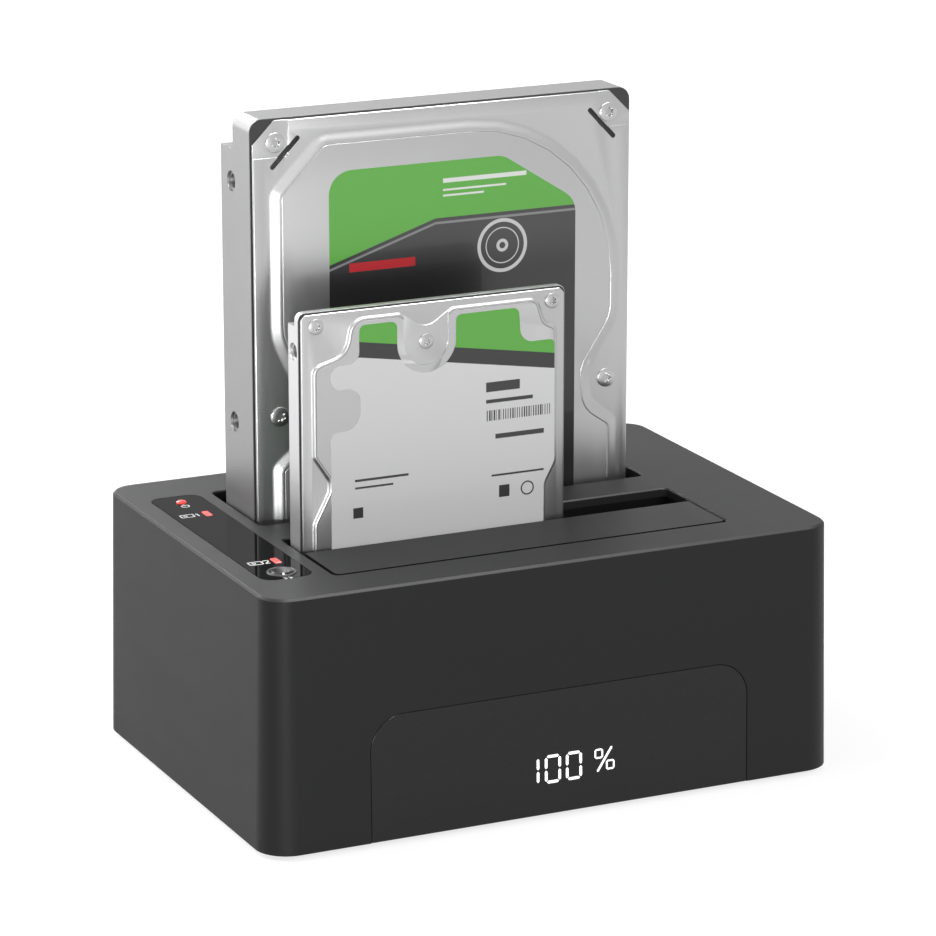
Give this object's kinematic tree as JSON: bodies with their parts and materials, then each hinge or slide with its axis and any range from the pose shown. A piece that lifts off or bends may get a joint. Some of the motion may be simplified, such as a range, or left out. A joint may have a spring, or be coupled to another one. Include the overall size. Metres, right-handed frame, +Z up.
{
  "type": "drive duplicator",
  "caption": "Desktop disk-cloning dock with sprung dust flaps over its bays, a control strip and display window, and bare disk drives standing upright in the bays.",
  "frame": {"origin": "middle of the footprint, on the surface the dock stands on", "axes": "+Z up, +X to the right seen from the front, front with the display window towards -Y"},
  "size_m": [0.1514, 0.108, 0.1623],
  "materials": {
    "housing": "fine moulded texture, charcoal",
    "housing_base": "fine moulded texture",
    "window": "smooth smoked acrylic",
    "display": "black with white digits",
    "strip": "mirror-smooth black acrylic",
    "ring": "polished",
    "button": "polished black",
    "red_lamp": "red lens",
    "circuit_board": "solder mask over glass-fibre board",
    "black_plastic": "moulded",
    "bay": "moulded, satin",
    "flap": "fine moulded texture",
    "steel": "plated steel",
    "foot": "soft matt rubber",
    "can": "drawn can",
    "port_shell": "plated shell",
    "drive_lid": "satin pressed lid",
    "casting": "die casting with machined faces",
    "gasket": "black seal",
    "large_label": "printed film",
    "small_label": "printed film"
  },
  "bodies": {
    "dock": {"board_screws": "steel", "bottom_cover": "housing_base", "bridge_chips": "black_plastic", "button_ring": "ring", "button_switch": "black_plastic", "capacitors": "can", "case_screws": "steel", "control_strip": "strip", "controller_chip": "black_plastic", "display_module": "display", "foot_front_left": "foot", "foot_front_right": "foot", "foot_rear_left": "foot", "foot_rear_right": "foot", "front_bay_frame": "bay", "front_flap_spring": "steel", "front_hinge_pin": "steel", "front_receptacle": "black_plastic", "front_window": "window", "main_board": "circuit_board", "power_jack": "black_plastic", "power_lamp": "red_lamp", "rear_bay_frame": "bay", "rear_flap_spring": "steel", "rear_hinge_pin": "steel", "rear_receptacle": "black_plastic", "source_lamp": "red_lamp", "strip_board": "circuit_board", "switch_bezel": "black_plastic", "switch_block": "black_plastic", "target_lamp": "red_lamp", "upper_housing": "housing", "usb_port": "port_shell"},
    "front_flap_body": {"front_flap": "flap"},
    "rear_flap_body": {"rear_flap": "flap"},
    "clone_button_body": {"clone_button": "button"},
    "power_button_body": {"power_button": "button"},
    "large_drive": {"large_drive_base": "casting", "large_drive_board": "circuit_board", "large_drive_cover": "drive_lid", "large_drive_gasket": "gasket", "large_drive_label": "large_label", "large_drive_plug": "black_plastic", "large_drive_screws": "steel"},
    "small_drive": {"small_drive_base": "casting", "small_drive_board": "circuit_board", "small_drive_cover": "drive_lid", "small_drive_gasket": "gasket", "small_drive_label": "small_label", "small_drive_plug": "black_plastic", "small_drive_screws": "steel"}
  },
  "joints": [
    {"name": "front_flap_hinge", "type": "hinge", "parent": "dock", "child": "front_flap_body", "pos_m": [0, -0.0409, 0.05975], "axis": [-1, 0, 0], "range_deg": [0, 86], "stiffness_Nm_per_rad": 0.004, "springref_deg": -28.65},
    {"name": "rear_flap_hinge", "type": "hinge", "parent": "dock", "child": "rear_flap_body", "pos_m": [0, 0.0038, 0.05975], "axis": [-1, 0, 0], "range_deg": [0, 4], "stiffness_Nm_per_rad": 0.004, "springref_deg": -114.59},
    {"name": "clone_button_press", "type": "slide", "parent": "dock", "child": "clone_button_body", "axis": [0, 0, -1], "range_m": [0, 0.0008], "stiffness_N_per_m": 400, "springref_m": -0.001},
    {"name": "power_button_press", "type": "slide", "parent": "dock", "child": "power_button_body", "axis": [0, -1, 0], "range_m": [0, 0.0015], "stiffness_N_per_m": 400, "springref_m": -0.001},
    {"name": "large_drive_lift", "type": "slide", "parent": "dock", "child": "large_drive", "axis": [0, 0, 1], "range_m": [0, 0.06]},
    {"name": "small_drive_lift", "type": "slide", "parent": "dock", "child": "small_drive", "axis": [0, 0, 1], "range_m": [0, 0.06]}
  ]
}
